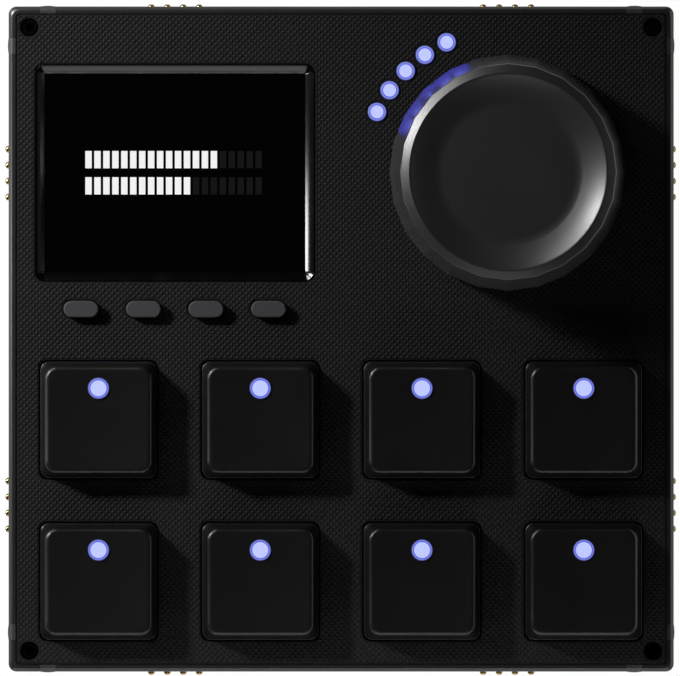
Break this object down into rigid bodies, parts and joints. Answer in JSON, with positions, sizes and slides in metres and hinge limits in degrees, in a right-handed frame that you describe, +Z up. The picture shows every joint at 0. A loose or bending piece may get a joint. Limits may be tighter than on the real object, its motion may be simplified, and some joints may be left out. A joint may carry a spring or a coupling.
{
  "type": "audio workstation controller",
  "caption": "Square desktop audio controller with a small display, soft buttons, a large faceted dial, an arc of lights, lit keys and contact pins in its sides.",
  "frame": {"origin": "middle of the surface that the feet stand on", "axes": "+X to the right edge, +Y to the rear edge, +Z up out of the panel"},
  "size_m": [0.1051, 0.1051, 0.043],
  "materials": {
    "case_black": "smooth satin",
    "panel_black": "fine diagonal knurl",
    "plate_steel": "powder coat",
    "board_green": "solder mask",
    "switch_black": "moulded",
    "lamp_clear": "clear resin",
    "bezel_gloss": "polished",
    "screen_glass": "dark cover glass",
    "module_metal": "pressed",
    "knob_black": "satin",
    "brass": "turned",
    "bare_steel": "plated",
    "window_blue": "lit blue window",
    "contact_gold": "gold plated",
    "magnet_black": "black coated",
    "foot_rubber": "matt",
    "screw_black": "black oxide",
    "keycap_black": "satin",
    "soft_grey": "matt",
    "ribbon_amber": "film",
    "stem_red": "moulded"
  },
  "bodies": {
    "case": {"case_tray": "case_black", "top_panel": "panel_black", "switch_plate": "plate_steel", "main_board": "board_green", "switch_housings": "switch_black", "key_leds": "lamp_clear", "soft_switches": "switch_black", "display_bezel": "bezel_gloss", "cover_glass": "screen_glass", "display_module": "module_metal", "display_holder": "switch_black", "display_ribbon": "ribbon_amber", "board_components": "switch_black", "encoder_body": "bare_steel", "encoder_washer": "bare_steel", "encoder_nut": "bare_steel", "level_light_pipes": "window_blue", "level_leds": "lamp_clear", "contact_blocks": "switch_black", "fixed_contacts": "contact_gold", "side_magnets": "magnet_black", "feet": "foot_rubber", "case_screws": "screw_black", "threaded_inserts": "brass", "inner_screws": "bare_steel", "usb_inlet": "bare_steel"},
    "key_1": {"key_stem_1": "stem_red", "keycap_1": "keycap_black", "key_lens_1": "window_blue"},
    "key_2": {"key_stem_2": "stem_red", "keycap_2": "keycap_black", "key_lens_2": "window_blue"},
    "key_3": {"key_stem_3": "stem_red", "keycap_3": "keycap_black", "key_lens_3": "window_blue"},
    "key_4": {"key_stem_4": "stem_red", "keycap_4": "keycap_black", "key_lens_4": "window_blue"},
    "key_5": {"key_stem_5": "stem_red", "keycap_5": "keycap_black", "key_lens_5": "window_blue"},
    "key_6": {"key_stem_6": "stem_red", "keycap_6": "keycap_black", "key_lens_6": "window_blue"},
    "key_7": {"key_stem_7": "stem_red", "keycap_7": "keycap_black", "key_lens_7": "window_blue"},
    "key_8": {"key_stem_8": "stem_red", "keycap_8": "keycap_black", "key_lens_8": "window_blue"},
    "soft_1": {"soft_button_1": "soft_grey"},
    "soft_2": {"soft_button_2": "soft_grey"},
    "soft_3": {"soft_button_3": "soft_grey"},
    "soft_4": {"soft_button_4": "soft_grey"},
    "dial_push": {"encoder_plunger": "bare_steel"},
    "dial": {"knob_body": "knob_black", "knob_hub": "brass", "encoder_shaft": "bare_steel"},
    "front_pins": {"spring_pins_front": "contact_gold"},
    "left_pins": {"spring_pins_left": "contact_gold"}
  },
  "joints": [
    {"name": "key_1_press", "type": "slide", "parent": "case", "child": "key_1", "axis": [0, 0, -1], "range_m": [0, 0.004], "stiffness_N_per_m": 75, "springref_m": -0.004},
    {"name": "key_2_press", "type": "slide", "parent": "case", "child": "key_2", "axis": [0, 0, -1], "range_m": [0, 0.004], "stiffness_N_per_m": 75, "springref_m": -0.004},
    {"name": "key_3_press", "type": "slide", "parent": "case", "child": "key_3", "axis": [0, 0, -1], "range_m": [0, 0.004], "stiffness_N_per_m": 75, "springref_m": -0.004},
    {"name": "key_4_press", "type": "slide", "parent": "case", "child": "key_4", "axis": [0, 0, -1], "range_m": [0, 0.004], "stiffness_N_per_m": 75, "springref_m": -0.004},
    {"name": "key_5_press", "type": "slide", "parent": "case", "child": "key_5", "axis": [0, 0, -1], "range_m": [0, 0.004], "stiffness_N_per_m": 75, "springref_m": -0.004},
    {"name": "key_6_press", "type": "slide", "parent": "case", "child": "key_6", "axis": [0, 0, -1], "range_m": [0, 0.004], "stiffness_N_per_m": 75, "springref_m": -0.004},
    {"name": "key_7_press", "type": "slide", "parent": "case", "child": "key_7", "axis": [0, 0, -1], "range_m": [0, 0.004], "stiffness_N_per_m": 75, "springref_m": -0.004},
    {"name": "key_8_press", "type": "slide", "parent": "case", "child": "key_8", "axis": [0, 0, -1], "range_m": [0, 0.004], "stiffness_N_per_m": 75, "springref_m": -0.004},
    {"name": "soft_1_press", "type": "slide", "parent": "case", "child": "soft_1", "axis": [0, 0, -1], "range_m": [0, 0.0005], "stiffness_N_per_m": 400, "springref_m": -0.003},
    {"name": "soft_2_press", "type": "slide", "parent": "case", "child": "soft_2", "axis": [0, 0, -1], "range_m": [0, 0.0005], "stiffness_N_per_m": 400, "springref_m": -0.003},
    {"name": "soft_3_press", "type": "slide", "parent": "case", "child": "soft_3", "axis": [0, 0, -1], "range_m": [0, 0.0005], "stiffness_N_per_m": 400, "springref_m": -0.003},
    {"name": "soft_4_press", "type": "slide", "parent": "case", "child": "soft_4", "axis": [0, 0, -1], "range_m": [0, 0.0005], "stiffness_N_per_m": 400, "springref_m": -0.003},
    {"name": "dial_push", "type": "slide", "parent": "case", "child": "dial_push", "axis": [0, 0, -1], "range_m": [0, 0.0005], "stiffness_N_per_m": 1000, "springref_m": -0.003},
    {"name": "dial_turn", "type": "hinge", "parent": "dial_push", "child": "dial", "pos_m": [0.026, 0.026, 0.02], "axis": [0, 0, 1], "continuous": true},
    {"name": "front_pins_slide", "type": "slide", "parent": "case", "child": "front_pins", "axis": [0, 1, 0], "range_m": [0, 0.0005], "stiffness_N_per_m": 600, "springref_m": -0.002},
    {"name": "left_pins_slide", "type": "slide", "parent": "case", "child": "left_pins", "axis": [1, 0, 0], "range_m": [0, 0.0005], "stiffness_N_per_m": 600, "springref_m": -0.002}
  ]
}
